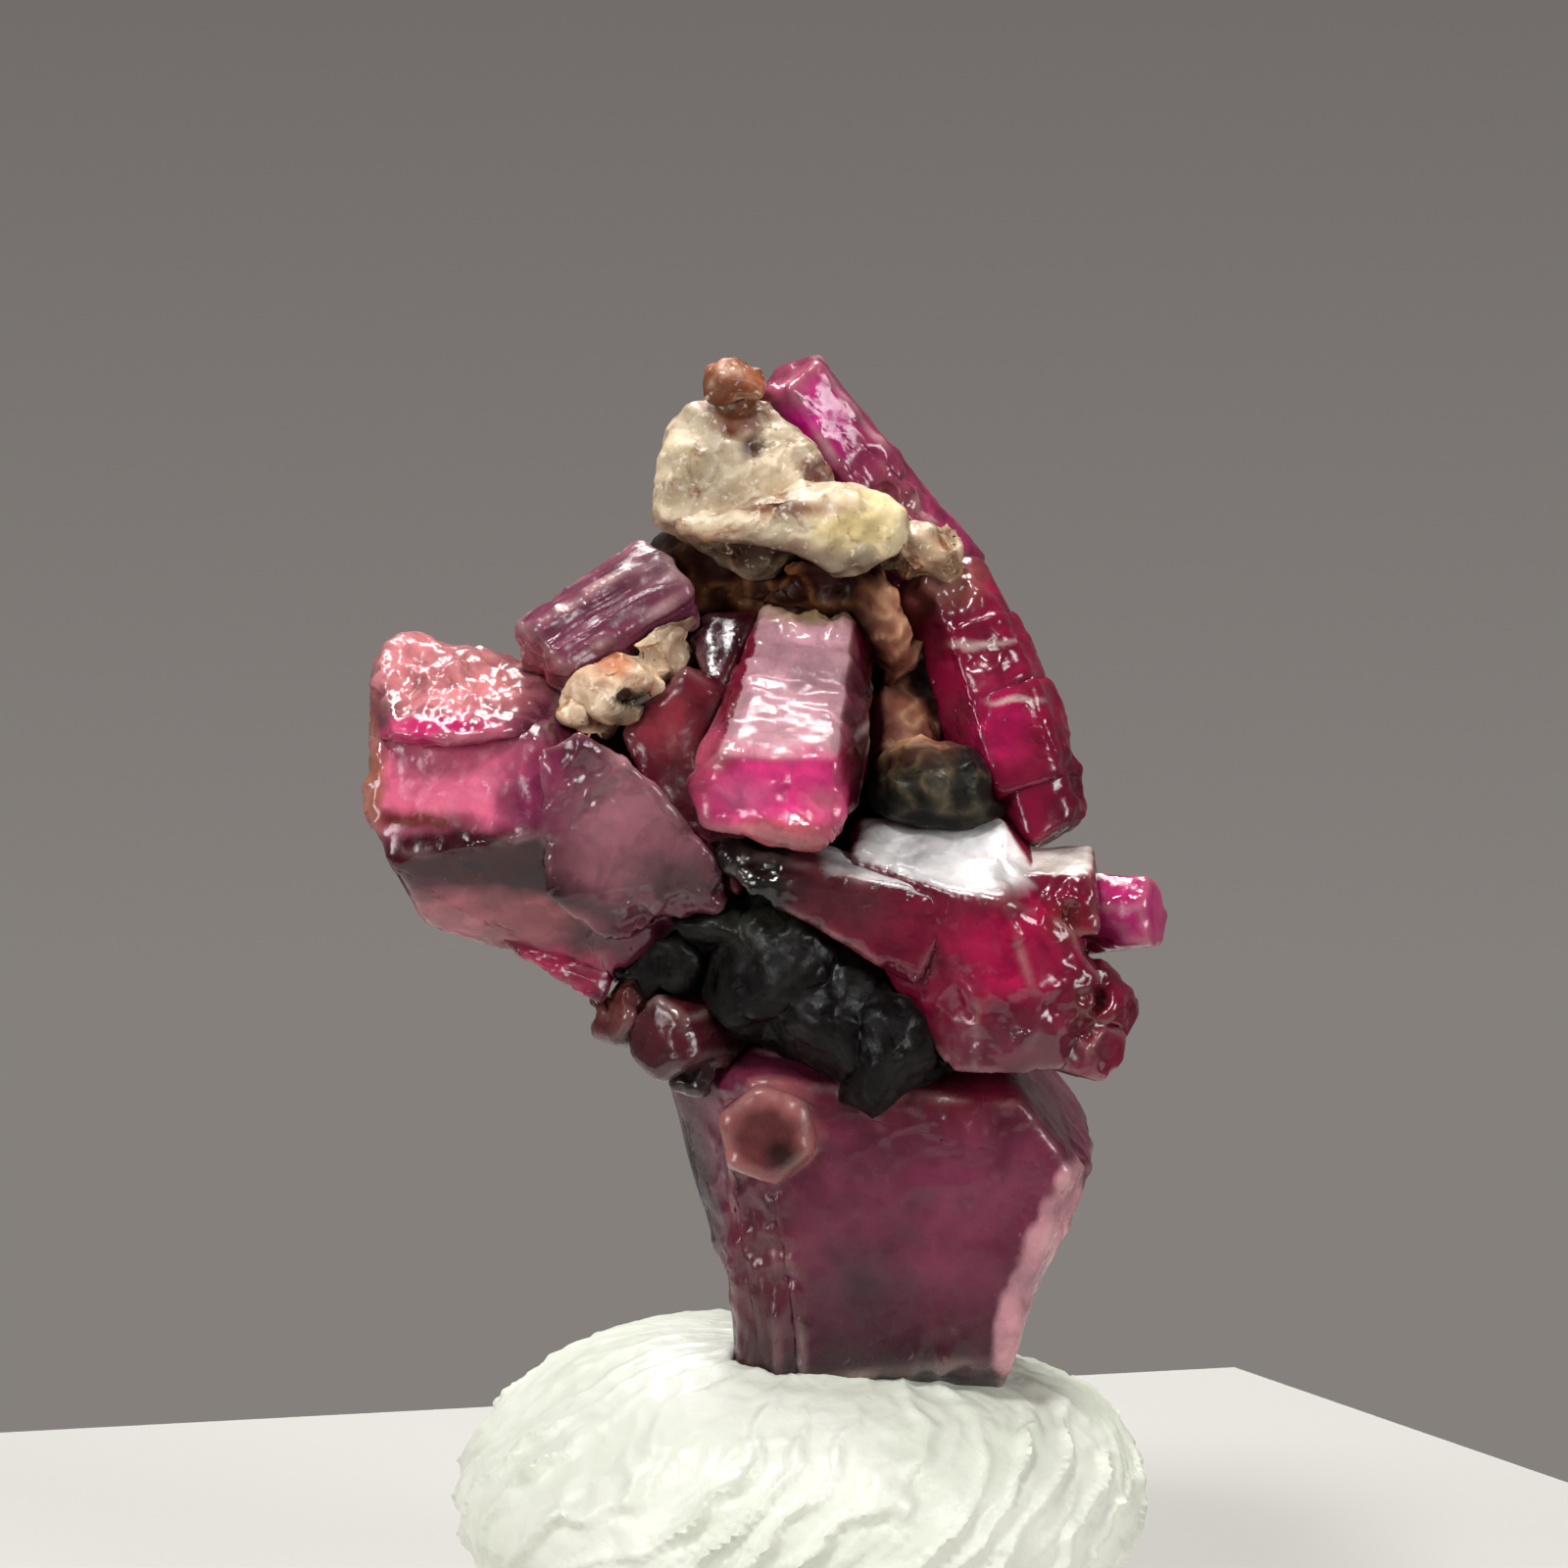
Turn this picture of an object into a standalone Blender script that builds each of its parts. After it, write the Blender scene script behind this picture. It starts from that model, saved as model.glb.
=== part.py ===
"""A ruby in matrix: ruby crystals grown through a piece of dark and tan rock, standing on a lump of putty.

Run with: blender --background --python part.py
The front of the specimen faces -Y, X runs to its right and Z is up. The origin is the centre of the putty's
flat foot. Lengths in this file are in millimetres and become metres in the mesh.
"""

import math
import random

import bmesh
import bpy
from mathutils import Vector

MM = 0.001

# Driving dimensions, in millimetres
SEAM = 0.25  # the free gap between two pieces that touch
PUTTY_WIDTH = 15.8
PUTTY_DEPTH = 13.6
PUTTY_TOP = 8.2
PUTTY_WAIST = 3.75  # the height at which the putty is widest
DIMPLE_DEPTH = 0.65  # how far the foot of the specimen has pressed the putty down
PATCH_HALF = 0.375  # half of the flat patch's side, as a share of the putty's half width
PATCH_SLOPE = 1.5  # how far the putty spreads from the patch for each part that it rises
BLOCK = 30.0  # the side of the rough block that a many-faced crystal is cut from

RUBY_PINK = (0.62, 0.09, 0.22, 1.0)
RUBY_DARK = (0.30, 0.05, 0.10, 1.0)
RUBY_PURPLE = (0.36, 0.12, 0.20, 1.0)
ROCK_DARK = (0.035, 0.030, 0.030, 1.0)
ROCK_TAN = (0.58, 0.44, 0.29, 1.0)
PUTTY_WHITE = (0.85, 0.86, 0.80, 1.0)


def clear_scene():
    for obj in list(bpy.data.objects):
        bpy.data.objects.remove(obj)


def finish(name, colour, roughness):
    """A plain surface of one colour."""
    made = bpy.data.materials.new(name)
    made.use_nodes = True
    shader = made.node_tree.nodes["Principled BSDF"]
    shader.inputs["Base Color"].default_value = colour
    shader.inputs["Roughness"].default_value = roughness
    shader.inputs["Metallic"].default_value = 0.0
    return made


def millimetres(point):
    return Vector(point) * MM


def piece(name, mesh_data, surface, group):
    """Puts a finished bmesh in the scene as one named object, with its faces pointing out."""
    bmesh.ops.recalc_face_normals(mesh_data, faces=mesh_data.faces)
    if mesh_data.calc_volume(signed=True) < 0:
        bmesh.ops.reverse_faces(mesh_data, faces=mesh_data.faces)
    mesh = bpy.data.meshes.new(name)
    mesh_data.to_mesh(mesh)
    mesh_data.free()
    mesh.materials.append(surface)
    obj = bpy.data.objects.new(name, mesh)
    group.objects.link(obj)
    return obj


def cut(mesh_data, at, facing):
    """Takes away what lies beyond the flat face that passes through at and looks along facing."""
    everything = mesh_data.verts[:] + mesh_data.edges[:] + mesh_data.faces[:]
    made = bmesh.ops.bisect_plane(
        mesh_data, geom=everything, dist=1e-7, plane_co=millimetres(at), plane_no=Vector(facing).normalized(),
        clear_outer=True,
    )
    rim = [part for part in made["geom_cut"] if isinstance(part, bmesh.types.BMEdge)]
    if rim:
        bmesh.ops.holes_fill(mesh_data, edges=rim, sides=0)


def prism(root, tip, root_width, tip_width, roll=0.0, flatness=1.0, sides=6):
    """A crystal of the given number of sides from its root to its tip. Widths are across the corners, flatness
    squeezes the section one way, and roll turns it about its own length."""
    root, tip = Vector(root), Vector(tip)
    length = (tip - root).length
    made = bmesh.new()
    bmesh.ops.create_cone(
        made, cap_ends=True, segments=sides, radius1=root_width / 2 * MM, radius2=tip_width / 2 * MM,
        depth=length * MM,
    )
    for vert in made.verts:
        vert.co.y *= flatness
    turned = (tip - root).to_track_quat("Z", "Y").to_matrix()
    for vert in made.verts:
        angle = math.radians(roll)
        x, y = vert.co.x, vert.co.y
        vert.co.x = x * math.cos(angle) - y * math.sin(angle)
        vert.co.y = x * math.sin(angle) + y * math.cos(angle)
        vert.co = turned @ vert.co + millimetres((root + tip) / 2)
    return made


def cut_block(centre, faces):
    """A crystal that is what is left of a block when each of its flat faces is cut."""
    made = bmesh.new()
    bmesh.ops.create_cube(made, size=BLOCK * MM)
    bmesh.ops.translate(made, verts=made.verts, vec=millimetres(centre))
    for at, facing in faces:
        cut(made, at, facing)
    return made


def cornered(*corners):
    """A crystal given by its corners, with flat faces between them."""
    made = bmesh.new()
    for corner in corners:
        made.verts.new(millimetres(corner))
    wrapped = bmesh.ops.convex_hull(made, input=made.verts)
    inside = [part for part in wrapped["geom_interior"] if isinstance(part, bmesh.types.BMVert)]
    bmesh.ops.delete(made, geom=inside, context="VERTS")
    bmesh.ops.dissolve_limit(made, angle_limit=math.radians(7), verts=made.verts, edges=made.edges)
    return made


def knock_corners(mesh_data, depth, share, seed):
    """Small broken facets: some of the corners are cut off a little below their point."""
    chance = random.Random(seed)
    corners = [(vert.co.copy(), vert.normal.copy()) for vert in mesh_data.verts]
    for corner, normal in corners:
        if chance.random() > share:
            continue
        lean = Vector([chance.uniform(-0.6, 0.6) for _ in range(3)])
        facing = (normal + lean).normalized()
        cut(mesh_data, corner / MM - facing * depth * chance.uniform(0.5, 1.0), facing)


def broken_lump(centre, size, cuts, seed, least=0.68):
    """A lump of rock with flat broken faces: a ball of the given size, cut at random planes."""
    chance = random.Random(seed)
    made = bmesh.new()
    bmesh.ops.create_icosphere(made, subdivisions=2, radius=0.5)
    for _ in range(cuts):
        facing = Vector([chance.gauss(0, 1) for _ in range(3)]).normalized()
        cut(made, facing * 0.5 * chance.uniform(least, 0.94) / MM, facing)
    for vert in made.verts:
        vert.co = Vector([vert.co[i] * size[i] * MM for i in range(3)]) + millimetres(centre)
    return made


def evaluated_copy(obj):
    """The object's mesh with its modifiers applied."""
    graph = bpy.context.evaluated_depsgraph_get()
    return bpy.data.meshes.new_from_object(obj.evaluated_get(graph))


def settle(obj):
    """Replaces the object's mesh by what its modifiers make of it."""
    mesh = evaluated_copy(obj)
    obj.modifiers.clear()
    obj.data = mesh


def boolean(obj, other, operation, solver="EXACT"):
    change = obj.modifiers.new(operation.lower(), "BOOLEAN")
    change.object = other
    change.operation = operation
    change.solver = solver
    settle(obj)


def grown(name, surface, group, *shapes):
    """Several shapes that overlap, joined in one solid."""
    made = piece(name, shapes[0], surface, group)
    for shape in shapes[1:]:
        other = piece(name + "_growth", shape, surface, group)
        boolean(made, other, "UNION")
        bpy.data.objects.remove(other)
    return made


def hollow(obj, shape):
    """Takes the shape out of the piece."""
    cutter = piece(obj.name + "_hollow", shape, obj.data.materials[0], bpy.context.scene.collection)
    boolean(obj, cutter, "DIFFERENCE")
    bpy.data.objects.remove(cutter)


def swollen(obj, by):
    """A copy of the piece whose faces all lie further out by the given distance."""
    made = bmesh.new()
    made.from_mesh(obj.data)
    bmesh.ops.remove_doubles(made, verts=made.verts, dist=0.002 * MM)
    made.normal_update()
    steps = [vert.normal * min(vert.calc_shell_factor(), 2.0) * by * MM for vert in made.verts]
    for vert, step in zip(made.verts, steps):
        vert.co += step
    return piece(obj.name + "_swollen", made, obj.data.materials[0], bpy.context.scene.collection)


def keep_largest(obj):
    """Drops the crumbs that a cut left loose."""
    made = bmesh.new()
    made.from_mesh(obj.data)
    waiting = set(made.verts)
    bodies = []
    while waiting:
        body = {waiting.pop()}
        edge_of_body = list(body)
        while edge_of_body:
            vert = edge_of_body.pop()
            near = {edge.other_vert(vert) for edge in vert.link_edges} - body
            body |= near
            edge_of_body += near
        waiting -= body
        bodies.append(body)
    bodies.sort(key=len)
    for body in bodies[:-1]:
        bmesh.ops.delete(made, geom=list(body), context="VERTS")
    made.to_mesh(obj.data)
    made.free()


def seat(obj, *neighbours, gap=SEAM):
    """Cuts the neighbours' room out of the piece, with a seam all round. A swollen neighbour can cross itself in
    its hollows, where the exact solver loses the whole piece, so this uses the manifold one."""
    for neighbour in neighbours:
        cutter = swollen(neighbour, gap)
        boolean(obj, cutter, "DIFFERENCE", solver="MANIFOLD")
        bpy.data.objects.remove(cutter)
    keep_largest(obj)


def make_foot_ruby(surface, group):
    """The big barrel that stands in the putty, with a narrow column and a small round crystal on its left."""
    faces = [
        ((2.5, -3.3, 10.0), (0.0, -1.0, -0.10)),
        ((6.05, -3.5, 11.8), (0.87, -0.35, -0.35)),
        ((6.75, 0.0, 12.5), (1.0, 0.1, 0.0)),
        ((5.3, 0.0, 9.2), (1.0, 0.0, -0.5)),
        ((-2.05, -0.5, 10.2), (-1.0, -0.1, -0.23)),
        ((-1.2, -2.0, 10.2), (-0.8, -0.55, -0.2)),
        ((2.0, 2.9, 10.0), (0.1, 1.0, -0.12)),
        ((-0.9, 2.4, 10.0), (-0.7, 0.7, -0.2)),
        ((5.2, 2.2, 10.0), (0.75, 0.66, -0.3)),
        ((2.0, 0.0, 14.4), (0.06, 0.0, 1.0)),
        ((2.0, 3.1, 13.6), (0.1, 0.8, 0.6)),
        ((6.6, 1.4, 14.0), (0.7, 0.6, 0.4)),
        ((-2.4, 1.6, 13.4), (-0.7, 0.5, 0.6)),
        ((0.0, 0.0, 5.4), (0.0, 0.0, -1.0)),
    ]
    barrel = cut_block((2, 0, 10), faces)
    knock_corners(barrel, depth=0.45, share=0.6, seed=3)
    column = prism((-0.35, -1.9, 5.6), (-0.45, -2.3, 13.6), root_width=2.1, tip_width=2.6, roll=8)
    bud = prism((-0.5, -1.4, 12.7), (-0.75, -4.1, 13.0), root_width=2.5, tip_width=2.1, roll=10)
    return grown("foot_ruby", surface, group, barrel, column, bud)


def make_left_ruby(surface, group):
    """The big crystal that reaches out to the left, with a rougher one along its top, a plate on its right and a
    narrow strip under it."""
    body = cornered(
        (-9.5, -4.0, 22.2), (-4.9, -4.2, 22.1), (-2.0, -3.7, 19.0), (-1.9, -3.5, 18.3), (-4.4, -2.2, 16.3),
        (-8.5, -2.7, 17.7), (-9.4, -4.0, 19.1), (-9.8, -4.3, 20.5), (-6.2, -4.9, 20.2), (-9.3, -1.0, 23.2),
        (-4.7, -0.6, 23.2), (-2.2, 0.0, 19.2), (-4.4, 1.4, 16.6), (-8.2, 1.4, 17.9), (-9.3, 1.8, 20.2),
        (-8.8, 2.0, 22.8), (-5.0, 2.0, 22.8),
    )
    knock_corners(body, depth=0.3, share=0.4, seed=5)
    crust = cornered(
        (-9.35, -1.5, 24.0), (-8.7, -0.8, 24.15), (-6.5, -0.8, 24.1), (-6.1, -2.2, 23.2), (-9.85, -2.6, 23.0),
        (-9.75, -4.25, 22.3), (-7.8, -4.6, 22.1), (-6.3, -4.4, 22.3), (-5.7, -3.4, 22.6), (-6.0, 0.6, 23.3),
        (-9.2, 0.9, 23.2), (-9.6, -2.0, 21.6), (-6.0, -2.0, 21.6),
    )
    knock_corners(crust, depth=0.4, share=0.6, seed=8)
    plate = cornered(
        (-5.8, -4.7, 21.9), (-4.9, -4.8, 22.3), (-3.4, -4.6, 21.2), (-1.7, -4.1, 19.0), (-1.8, -3.9, 18.2),
        (-4.4, -3.9, 17.4), (-5.6, -4.6, 18.6), (-4.4, -2.0, 20.0), (-2.6, -2.0, 18.8),
    )
    strip = cornered(
        (-7.3, -2.6, 17.8), (-6.4, -2.9, 17.0), (-4.5, -2.5, 15.8), (-4.3, -2.3, 16.4), (-5.6, -1.2, 17.6),
        (-7.2, -1.0, 17.9), (-4.6, -0.9, 16.1),
    )
    return grown("left_ruby", surface, group, body, crust, plate, strip)


def make_centre_ruby(surface, group):
    """The stout prism that points out of the middle towards the viewer."""
    body = cornered(
        (-0.75, -1.4, 24.6), (1.5, -1.4, 24.5), (0.88, -5.0, 21.7), (-1.75, -5.0, 21.8), (1.0, -5.1, 20.5),
        (0.3, -5.2, 20.1), (-2.1, -4.9, 20.3), (-2.45, -4.6, 21.1), (2.1, -3.0, 22.2), (2.3, -1.0, 23.6),
        (1.6, -3.4, 20.4), (-1.35, -1.2, 23.0), (-1.3, 0.8, 22.6), (1.4, 1.0, 22.8), (-0.4, 0.0, 20.6),
    )
    return grown("centre_ruby", surface, group, body)


def make_right_ruby(surface, group):
    """The long prism down the right side, which grew in three stages."""
    stages = [
        prism((3.2, 0.0, 25.3), (4.5, -0.9, 22.6), root_width=1.9, tip_width=2.3, roll=15),
        prism((3.9, -0.4, 24.1), (5.1, -1.3, 20.5), root_width=2.2, tip_width=2.7, roll=17),
        prism((4.6, -0.8, 22.6), (5.65, -1.6, 19.4), root_width=2.4, tip_width=2.1, roll=13),
    ]
    cut(stages[2], (5.6, -1.6, 19.5), (0.5, -0.2, -0.8))
    return grown("right_ruby", surface, group, *stages)


def make_crest_ruby(surface, group):
    """The long prism along the top edge, which ends in the specimen's highest point."""
    lower = prism((3.3, 0.9, 24.7), (0.8, 0.7, 27.8), root_width=2.5, tip_width=2.3, roll=10)
    upper = prism((1.4, 0.7, 27.1), (-0.3, 0.2, 29.8), root_width=2.4, tip_width=1.8, roll=14)
    return grown("crest_ruby", surface, group, lower, upper)


def make_shoulder_ruby(surface, group):
    """The striated prism at the upper left."""
    made = prism((-3.0, -0.5, 25.1), (-5.8, -1.8, 23.5), root_width=2.3, tip_width=2.1, roll=30)
    return grown("shoulder_ruby", surface, group, made)


def make_front_ruby(surface, group):
    """The big crystal at the lower right, with its bright top face, an arm to the left and small crystals on
    its right edge."""
    body = cornered(
        (1.0, -3.5, 19.3), (2.8, -4.7, 18.75), (4.6, -5.2, 18.5), (5.9, -4.7, 18.0), (6.6, -4.2, 16.6),
        (6.6, -4.3, 15.2), (5.8, -4.7, 14.6), (3.5, -4.6, 14.6), (2.6, -4.4, 15.7), (1.7, -4.3, 17.4),
        (1.2, -2.4, 19.9), (4.7, -2.4, 19.9), (6.2, -1.4, 18.4), (6.3, 0.8, 15.3), (3.2, 0.8, 15.0),
        (2.0, 0.4, 17.0), (1.6, 0.4, 19.4),
    )
    knock_corners(body, depth=0.25, share=0.3, seed=21)
    arm = cornered(
        (-1.8, -4.2, 19.5), (-1.3, -4.6, 18.9), (0.9, -4.5, 19.0), (1.0, -4.6, 17.6), (2.6, -4.5, 16.6),
        (3.4, -4.6, 18.4), (-1.5, -3.0, 19.3), (0.9, -2.6, 19.3), (3.0, -2.0, 18.0), (1.6, -2.6, 17.0),
    )
    shelf = cornered(
        (5.0, -4.0, 18.9), (6.5, -4.2, 19.0), (6.7, -4.3, 17.7), (5.1, -4.5, 17.6), (5.2, -1.8, 19.2),
        (6.6, -1.8, 19.2), (6.6, -1.8, 17.4), (5.2, -1.8, 17.4),
    )
    point = prism((6.0, -2.4, 17.8), (8.0, -3.3, 18.0), root_width=1.9, tip_width=1.5, roll=15)
    rough = prism((5.4, -2.6, 16.2), (7.2, -3.6, 15.5), root_width=2.3, tip_width=1.7, roll=40)
    corner = prism((5.2, -2.6, 15.4), (6.9, -4.2, 14.9), root_width=1.8, tip_width=1.3, roll=10)
    return grown("front_ruby", surface, group, body, arm, shelf, point, rough, corner)


def make_inner_ruby(surface, group):
    """The dark wedge between the left and centre crystals, and the three-cornered face above it in the cavity."""
    body = cornered(
        (-3.9, -2.7, 22.0), (-2.6, -2.4, 23.4), (-1.2, -2.8, 22.5), (-1.4, -3.8, 18.5), (-2.9, -3.8, 19.5),
        (-3.2, 0.4, 22.0), (-1.5, 0.4, 22.8), (-1.6, 0.3, 19.0),
    )
    upper = cornered(
        (-2.6, -0.9, 24.3), (-0.9, -0.9, 24.5), (-1.9, -2.0, 22.7), (-2.5, 0.6, 24.0), (-1.0, 0.6, 24.2),
        (-1.8, 0.4, 22.4),
    )
    return grown("inner_ruby", surface, group, body, upper)


def make_bud_rubies(surface, group):
    """The cluster of small crystals under the left ruby."""
    buds = [
        prism((-2.2, -0.6, 15.2), (-4.3, -2.4, 15.6), root_width=1.9, tip_width=1.4, roll=20),
        prism((-1.2, -0.4, 15.0), (-3.2, -3.2, 15.1), root_width=2.4, tip_width=1.7, roll=5),
        prism((-1.2, -0.2, 14.2), (-2.5, -2.6, 14.4), root_width=2.2, tip_width=1.5, roll=35),
    ]
    return grown("bud_rubies", surface, group, *buds)


def make_cap_rock(surface, group):
    """The tan rock under the top point, with its knob and the ledge that runs down to the right."""
    cap = cornered(
        (-3.5, -1.2, 26.7), (-3.4, -1.4, 27.6), (-2.8, -0.9, 28.8), (-1.9, -0.6, 29.7), (-0.7, -0.7, 29.4),
        (0.1, -1.3, 28.4), (0.6, -1.6, 27.6), (-1.4, -2.0, 27.6), (0.7, -1.6, 26.6), (-0.8, -2.1, 26.8),
        (-2.9, -1.9, 26.7), (-2.0, 2.2, 28.2), (0.6, 2.4, 27.6), (-3.0, 1.8, 26.6), (1.0, 2.2, 25.6),
        (-1.0, -0.5, 25.4),
    )
    knob = broken_lump((-1.5, -0.8, 29.8), (1.5, 1.5, 1.3), 10, seed=31)
    ledge = cornered(
        (-2.7, -2.5, 26.7), (-0.6, -2.8, 27.4), (0.8, -2.6, 27.3), (2.2, -2.2, 26.9), (2.3, -2.2, 26.4),
        (1.1, -2.4, 25.7), (-0.4, -2.7, 26.2), (-2.4, -0.6, 26.9), (0.6, -0.2, 27.4), (2.3, -0.4, 26.8),
        (1.6, -0.2, 25.6), (-1.0, -0.4, 26.0),
    )
    patch = broken_lump((2.9, -0.9, 25.9), (2.2, 2.0, 1.6), 10, seed=33)
    return grown("cap_rock", surface, group, cap, knob, ledge, patch)


def make_shoulder_rock(surface, group):
    """The tan lumps that fill the middle left, with a small hole."""
    lumps = [
        broken_lump((-4.1, -2.1, 23.0), (2.6, 2.6, 2.0), 14, seed=22),
        broken_lump((-5.0, -1.8, 22.4), (2.2, 3.0, 1.8), 14, seed=24),
        broken_lump((-3.3, -0.8, 24.2), (2.6, 3.4, 2.6), 14, seed=23),
        broken_lump((-4.6, 0.8, 23.4), (3.6, 3.0, 2.8), 14, seed=25),
    ]
    made = grown("shoulder_rock", surface, group, *lumps)
    hollow(made, broken_lump((-3.75, -3.2, 22.75), (0.9, 2.0, 0.7), 6, seed=26))
    return made


def make_dark_rock(surface, group):
    """The dark rock that holds everything, with the lumpy band across the front and the rod on the right."""
    core = [
        broken_lump((0.8, 1.2, 17.0), (8.4, 6.6, 5.6), 22, seed=11),
        broken_lump((1.4, 1.3, 20.4), (8.2, 6.2, 6.4), 22, seed=41),
        broken_lump((-0.6, 1.2, 21.4), (7.0, 5.6, 5.4), 22, seed=42),
        broken_lump((0.4, 1.4, 24.4), (6.6, 5.4, 5.4), 22, seed=43),
        broken_lump((0.1, 1.6, 26.4), (3.8, 3.4, 3.6), 18, seed=44),
        broken_lump((-2.4, 1.6, 23.6), (4.4, 4.4, 4.8), 18, seed=46),
        broken_lump((2.6, 1.9, 14.4), (5.4, 5.0, 2.8), 16, seed=45),
        broken_lump((-1.7, 1.4, 25.0), (4.2, 3.6, 3.8), 16, seed=47),
    ]
    band = [
        broken_lump((-1.8, -2.2, 17.9), (3.2, 3.8, 3.0), 14, seed=12),
        broken_lump((-0.5, -2.7, 16.7), (3.8, 4.2, 3.8), 14, seed=13),
        broken_lump((0.8, -2.9, 15.7), (3.8, 4.2, 3.8), 14, seed=14),
        broken_lump((2.0, -2.9, 14.9), (3.6, 4.4, 3.6), 14, seed=15),
        broken_lump((-3.2, -1.6, 16.8), (3.4, 3.8, 2.6), 14, seed=16),
    ]
    rod = prism((2.1, -1.3, 26.0), (3.1, -1.9, 20.8), root_width=1.9, tip_width=2.3, roll=20, sides=7)
    knock_corners(rod, depth=0.4, share=0.7, seed=18)
    rod_foot = broken_lump((3.2, -2.1, 20.7), (3.4, 3.0, 2.6), 12, seed=20)
    made = grown("dark_rock", surface, group, *core, *band, rod, rod_foot)
    hollow(made, broken_lump((-1.0, -2.0, 24.6), (4.2, 4.2, 2.6), 12, seed=27))
    return made


def make_putty(surface, group):
    """A squashed ball of putty, pressed flat underneath on a four-cornered patch so that it stands still, with a
    dimple where the specimen stands. It is pressed and cut as a ball of radius 1 before it gets its size."""
    made = bmesh.new()
    bmesh.ops.create_uvsphere(made, u_segments=48, v_segments=24, radius=1.0)
    floor = -PUTTY_WAIST / (PUTTY_TOP - PUTTY_WAIST)
    for quarter in range(4):
        angle = math.radians(45 + 90 * quarter)
        side = Vector((math.cos(angle), math.sin(angle), 0))
        cut(made, (side * PATCH_HALF + Vector((0, 0, floor))) / MM, side - Vector((0, 0, PATCH_SLOPE)))
    cut(made, Vector((0, 0, floor)) / MM, (0, 0, -1))
    for vert in made.verts:
        x, y, z = vert.co
        vert.co.x = x * PUTTY_WIDTH / 2
        vert.co.y = y * PUTTY_DEPTH / 2
        vert.co.z = PUTTY_WAIST + z * (PUTTY_TOP - PUTTY_WAIST)
        from_foot = math.hypot((vert.co.x - 1.6) / 4.4, (vert.co.y + 0.2) / 4.4)
        if z > 0:
            vert.co.z -= DIMPLE_DEPTH * math.exp(-from_foot ** 4)
        vert.co *= MM
    return piece("putty", made, surface, group)


def main():
    clear_scene()
    group = bpy.data.collections.new("ruby_in_matrix")
    bpy.context.scene.collection.children.link(group)
    pink = finish("ruby_pink", RUBY_PINK, 0.25)
    dark = finish("ruby_dark", RUBY_DARK, 0.3)
    purple = finish("ruby_purple", RUBY_PURPLE, 0.35)
    black = finish("rock_dark", ROCK_DARK, 0.6)
    tan = finish("rock_tan", ROCK_TAN, 0.5)
    white = finish("putty_white", PUTTY_WHITE, 0.6)

    foot = make_foot_ruby(purple, group)
    crystals = [
        make_front_ruby(pink, group),
        make_left_ruby(pink, group),
        make_centre_ruby(pink, group),
        make_right_ruby(pink, group),
        make_crest_ruby(pink, group),
        foot,
        make_shoulder_ruby(purple, group),
        make_inner_ruby(dark, group),
        make_bud_rubies(dark, group),
    ]
    rocks = [
        make_cap_rock(tan, group),
        make_shoulder_rock(tan, group),
        make_dark_rock(black, group),
    ]
    placed = crystals[:1]
    for later in crystals[1:] + rocks:
        seat(later, *placed)
        placed.append(later)
    seat(make_putty(white, group), foot)


main()
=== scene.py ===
# %% [markdown]
# # A ruby in matrix
# The object is a small mineral specimen: ruby crystals grown through dark and tan rock, stood up on a lump of
# white putty. The solids of every piece are already made, at their real size. This lesson gives each one the
# surface that a real piece has: growth steps, chips, grains and the putty's twisted folds.

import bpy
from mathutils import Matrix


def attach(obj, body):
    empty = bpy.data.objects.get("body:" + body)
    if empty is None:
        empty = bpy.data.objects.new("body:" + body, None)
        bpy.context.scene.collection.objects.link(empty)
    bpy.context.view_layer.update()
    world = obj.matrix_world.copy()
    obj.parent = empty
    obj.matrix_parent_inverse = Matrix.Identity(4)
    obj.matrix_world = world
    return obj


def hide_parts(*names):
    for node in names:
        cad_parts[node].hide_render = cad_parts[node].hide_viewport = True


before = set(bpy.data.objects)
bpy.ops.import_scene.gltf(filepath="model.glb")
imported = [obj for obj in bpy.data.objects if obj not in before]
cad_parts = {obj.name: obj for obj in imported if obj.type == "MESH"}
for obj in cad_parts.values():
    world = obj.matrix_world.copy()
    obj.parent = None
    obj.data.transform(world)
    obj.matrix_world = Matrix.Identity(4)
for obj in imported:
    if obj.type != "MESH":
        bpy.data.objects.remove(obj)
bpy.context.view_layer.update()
print("solids:", sorted(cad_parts))

# %% Units
import math

import bmesh
import bpy
from mathutils import Vector, kdtree, noise

MM = 0.001


def srgb(red, green, blue):
    """A colour as a screen shows it, from 0 to 255, turned into light as a shader counts it."""
    return tuple(((part / 255 + 0.055) / 1.055) ** 2.4 if part > 10 else part / 255 / 12.92
                 for part in (red, green, blue))


# %% [markdown]
# ## A finer mesh
# A solid has a few large faces. Rough stone needs many small ones, so each piece starts from a copy of its
# solid. The copy is merged first, because the solid's triangles are loose. Then every edge that is longer than
# the grain is split again and again. A remesh would be quicker to write, but it rounds the crystals' edges.

# %% Copy and refine
def merged_copy(node):
    """A bmesh of the node's solid, with the corners of its triangles joined."""
    made = bmesh.new()
    made.from_mesh(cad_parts[node].data)
    bmesh.ops.remove_doubles(made, verts=made.verts, dist=0.0002 * MM)
    bmesh.ops.triangulate(made, faces=made.faces)
    return made


BACK_FROM = 0.5  # behind this, in millimetres, the back's grain holds
BACK_GRAIN = 1.5


def refine(made, grain):
    """Splits the edges until none is longer than the grain, in millimetres. The back is a little coarser."""
    for _ in range(12):
        long_edges = [edge for edge in made.edges if edge.calc_length() > grain * MM
                      * (BACK_GRAIN if edge.verts[0].co.y > BACK_FROM * MM else 1)]
        if not long_edges:
            break
        bmesh.ops.subdivide_edges(made, edges=long_edges, cuts=1)
        bmesh.ops.triangulate(made, faces=made.faces)


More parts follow.
